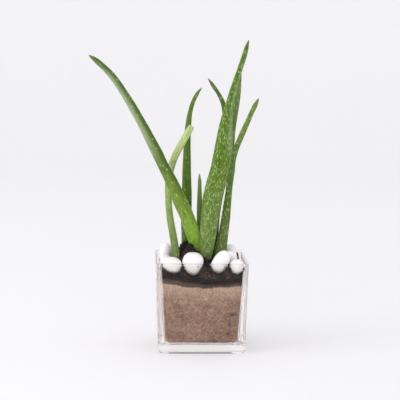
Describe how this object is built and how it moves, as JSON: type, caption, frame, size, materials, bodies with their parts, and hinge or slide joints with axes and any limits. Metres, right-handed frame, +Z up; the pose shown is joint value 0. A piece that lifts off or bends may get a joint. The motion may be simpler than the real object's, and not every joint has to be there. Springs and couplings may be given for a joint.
{
  "type": "potted aloe plant",
  "caption": "Young aloe with flecked, pointed leaves growing in a square clear-glass vase, with a tan soil layer, a dark soil layer and white pebbles on top.",
  "frame": {"origin": "centre of the vase's flat underside", "axes": "+Z up, -Y towards the front of the vase, +X to the right seen from the front"},
  "size_m": [0.1858, 0.0998, 0.3396],
  "materials": {
    "glass": "polished",
    "soil_dark": "matte",
    "soil_tan": "matte",
    "pebble": "satin",
    "leaf": "satin",
    "leaf_pale": "satin",
    "stem": "matte"
  },
  "bodies": {
    "root": {"glass_vase": "glass", "soil_lower": "soil_tan", "soil_top": "soil_dark", "stem_with_roots": "stem", "leaf_main": "leaf", "leaf_behind_main": "leaf", "leaf_right": "leaf", "leaf_long_left": "leaf", "leaf_upright_left": "leaf", "leaf_cut_pale": "leaf_pale", "leaf_small_back": "leaf", "leaf_small_centre": "leaf", "pebble_front_left": "pebble", "pebble_front_middle": "pebble", "pebble_front_right": "pebble", "pebble_small_right": "pebble", "pebble_back_left": "pebble", "pebble_right_edge": "pebble", "pebble_back_right": "pebble", "pebble_left_side": "pebble", "pebble_back_corner": "pebble", "pebble_back_middle": "pebble", "pebble_back_small": "pebble"}
  },
  "joints": []
}
